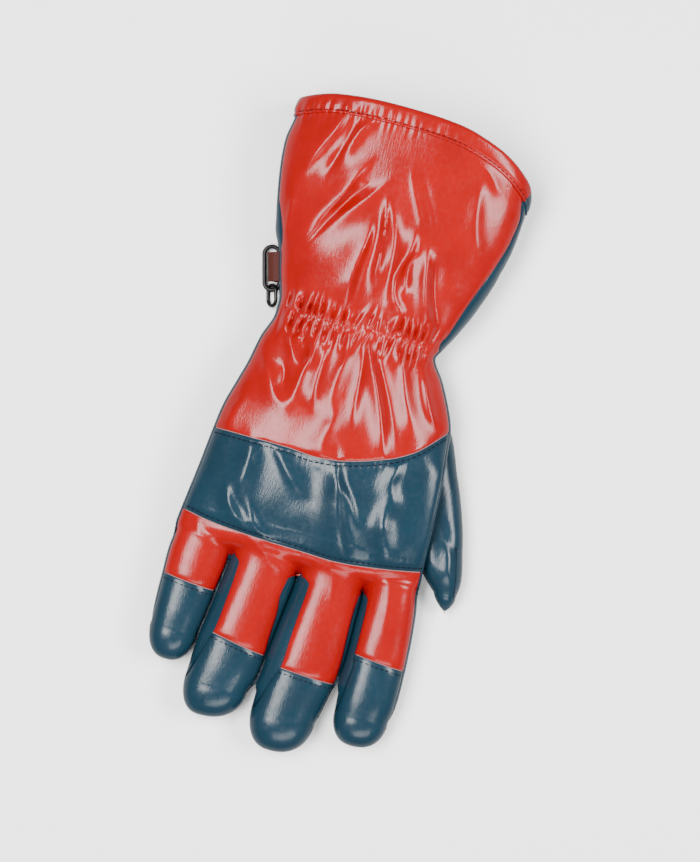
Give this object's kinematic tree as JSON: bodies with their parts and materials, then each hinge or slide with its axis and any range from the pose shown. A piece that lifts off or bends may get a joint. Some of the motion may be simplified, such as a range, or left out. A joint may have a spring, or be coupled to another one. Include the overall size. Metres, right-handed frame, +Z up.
{
  "type": "coated work glove",
  "caption": "Insulated right-hand work glove with a wide gauntlet cuff, in glossy red and dark blue coated cloth, lying palm down, with a plastic clip at the cuff.",
  "frame": {"origin": "middle of the glove's plan outline, on the surface it lies on", "axes": "+Z up out of the back of the hand, +Y from the fingers towards the open cuff, +X towards the thumb"},
  "size_m": [0.1544, 0.3435, 0.0479],
  "materials": {
    "red_coated": "gloss",
    "blue_coated": "gloss",
    "label_cloth": "matte",
    "black_plastic": "satin"
  },
  "bodies": {
    "root": {"back_panel": "red_coated", "hem_back": "red_coated", "finger_backs": "red_coated", "knuckle_strap": "blue_coated", "hem_palm": "blue_coated", "palm_panel": "blue_coated", "cuff_palm": "blue_coated", "thumb": "blue_coated", "fingertip_pinky": "blue_coated", "fingertip_ring": "blue_coated", "fingertip_middle": "blue_coated", "fingertip_index": "blue_coated", "fork_pinky_ring": "blue_coated", "fork_ring_middle": "blue_coated", "fork_middle_index": "blue_coated", "label_loop": "label_cloth", "clip_hook": "black_plastic", "clip_link": "black_plastic"}
  },
  "joints": []
}
